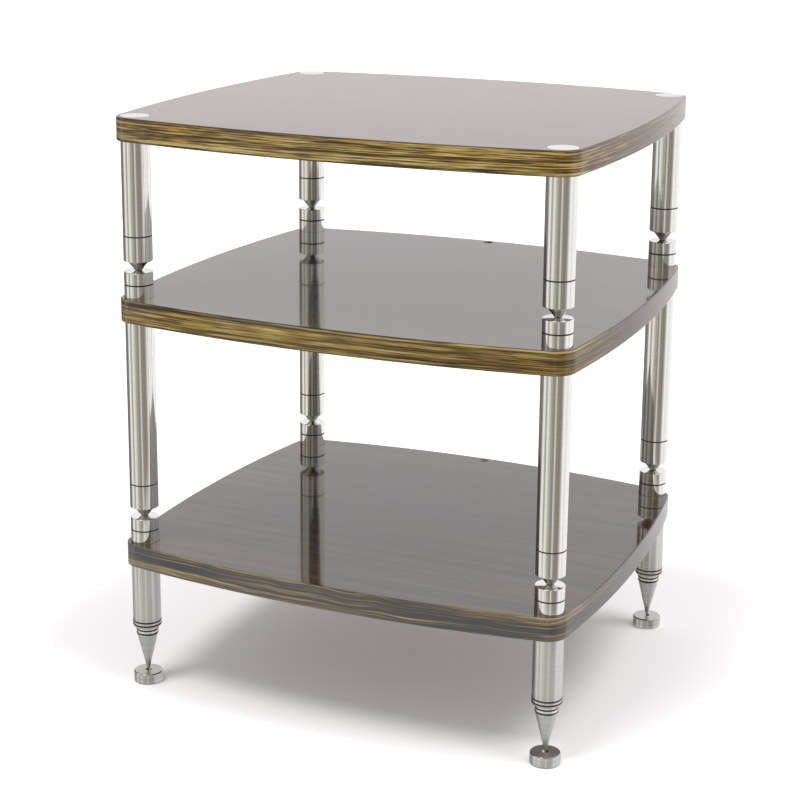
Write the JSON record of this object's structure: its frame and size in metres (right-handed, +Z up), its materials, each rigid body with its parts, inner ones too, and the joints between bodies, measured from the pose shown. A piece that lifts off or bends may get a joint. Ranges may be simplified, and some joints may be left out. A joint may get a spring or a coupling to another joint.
{
  "type": "audio equipment rack",
  "caption": "Free-standing audio rack: bow-edged veneered shelves on turned steel columns that stack cone in cup, with threaded spike feet on floor discs.",
  "frame": {"origin": "on the floor, under the middle of the shelves' outline", "axes": "+Z up, -Y is the front, +X is to the right when the rack is seen from the front"},
  "size_m": [0.6384, 0.5714, 0.7741],
  "materials": {
    "polished_steel": "turned and polished stainless steel",
    "veneered_board": "dark striped veneer under high-gloss lacquer",
    "black_rubber": "satin"
  },
  "bodies": {
    "lower_tier": {"shelf_lower": "veneered_board", "leg_tube_front_left": "polished_steel", "leg_tube_front_right": "polished_steel", "leg_tube_rear_left": "polished_steel", "leg_tube_rear_right": "polished_steel", "lower_cup_front_left": "polished_steel", "lower_cup_front_right": "polished_steel", "lower_cup_rear_left": "polished_steel", "lower_cup_rear_right": "polished_steel", "lower_cup_ring_front_left": "black_rubber", "lower_cup_ring_front_right": "black_rubber", "lower_cup_ring_rear_left": "black_rubber", "lower_cup_ring_rear_right": "black_rubber"},
    "middle_tier": {"shelf_middle": "veneered_board", "middle_cone_front_left": "polished_steel", "middle_cone_front_right": "polished_steel", "middle_cone_rear_left": "polished_steel", "middle_cone_rear_right": "polished_steel", "middle_cone_ring_front_left": "black_rubber", "middle_cone_ring_front_right": "black_rubber", "middle_cone_ring_rear_left": "black_rubber", "middle_cone_ring_rear_right": "black_rubber", "middle_tube_front_left": "polished_steel", "middle_tube_front_right": "polished_steel", "middle_tube_rear_left": "polished_steel", "middle_tube_rear_right": "polished_steel", "upper_cup_front_left": "polished_steel", "upper_cup_front_right": "polished_steel", "upper_cup_rear_left": "polished_steel", "upper_cup_rear_right": "polished_steel", "upper_cup_ring_front_left": "black_rubber", "upper_cup_ring_front_right": "black_rubber", "upper_cup_ring_rear_left": "black_rubber", "upper_cup_ring_rear_right": "black_rubber"},
    "top_tier": {"shelf_top": "veneered_board", "top_cone_front_left": "polished_steel", "top_cone_front_right": "polished_steel", "top_cone_rear_left": "polished_steel", "top_cone_rear_right": "polished_steel", "top_cone_ring_front_left": "black_rubber", "top_cone_ring_front_right": "black_rubber", "top_cone_ring_rear_left": "black_rubber", "top_cone_ring_rear_right": "black_rubber", "top_tube_front_left": "polished_steel", "top_tube_front_right": "polished_steel", "top_tube_rear_left": "polished_steel", "top_tube_rear_right": "polished_steel", "top_cap_front_left": "polished_steel", "top_cap_front_right": "polished_steel", "top_cap_rear_left": "polished_steel", "top_cap_rear_right": "polished_steel"},
    "foot_disc_front_left": {"floor_disc_front_left": "polished_steel"},
    "foot_disc_front_right": {"floor_disc_front_right": "polished_steel"},
    "foot_disc_rear_left": {"floor_disc_rear_left": "polished_steel"},
    "foot_disc_rear_right": {"floor_disc_rear_right": "polished_steel"},
    "foot_spike_front_left": {"levelling_spike_front_left": "polished_steel"},
    "foot_spike_front_right": {"levelling_spike_front_right": "polished_steel"},
    "foot_spike_rear_left": {"levelling_spike_rear_left": "polished_steel"},
    "foot_spike_rear_right": {"levelling_spike_rear_right": "polished_steel"}
  },
  "joints": [
    {"name": "middle_tier_lift", "type": "slide", "parent": "lower_tier", "child": "middle_tier", "axis": [0, 0, 1], "range_m": [0, 0.05]},
    {"name": "top_tier_lift", "type": "slide", "parent": "middle_tier", "child": "top_tier", "axis": [0, 0, 1], "range_m": [0, 0.05]},
    {"name": "foot_height_front_left", "type": "slide", "parent": "lower_tier", "child": "foot_disc_front_left", "axis": [0, 0, 1], "range_m": [-0.01, 0]},
    {"name": "foot_height_front_right", "type": "slide", "parent": "lower_tier", "child": "foot_disc_front_right", "axis": [0, 0, 1], "range_m": [-0.01, 0]},
    {"name": "foot_height_rear_left", "type": "slide", "parent": "lower_tier", "child": "foot_disc_rear_left", "axis": [0, 0, 1], "range_m": [-0.01, 0]},
    {"name": "foot_height_rear_right", "type": "slide", "parent": "lower_tier", "child": "foot_disc_rear_right", "axis": [0, 0, 1], "range_m": [-0.01, 0]},
    {"name": "foot_turn_front_left", "type": "hinge", "parent": "foot_disc_front_left", "child": "foot_spike_front_left", "pos_m": [-0.286, -0.2359, 0.0118], "axis": [0, 0, 1], "range_deg": [-2400, 0]},
    {"name": "foot_turn_front_right", "type": "hinge", "parent": "foot_disc_front_right", "child": "foot_spike_front_right", "pos_m": [0.286, -0.2359, 0.0118], "axis": [0, 0, 1], "range_deg": [-2400, 0]},
    {"name": "foot_turn_rear_left", "type": "hinge", "parent": "foot_disc_rear_left", "child": "foot_spike_rear_left", "pos_m": [-0.271, 0.2411, 0.0118], "axis": [0, 0, 1], "range_deg": [-2400, 0]},
    {"name": "foot_turn_rear_right", "type": "hinge", "parent": "foot_disc_rear_right", "child": "foot_spike_rear_right", "pos_m": [0.271, 0.2411, 0.0118], "axis": [0, 0, 1], "range_deg": [-2400, 0]}
  ],
  "couplings": [
    {"joint": "foot_turn_front_left", "follows": "foot_height_front_left", "rad_per_m": 4188.8},
    {"joint": "foot_turn_front_right", "follows": "foot_height_front_right", "rad_per_m": 4188.8},
    {"joint": "foot_turn_rear_left", "follows": "foot_height_rear_left", "rad_per_m": 4188.8},
    {"joint": "foot_turn_rear_right", "follows": "foot_height_rear_right", "rad_per_m": 4188.8}
  ]
}
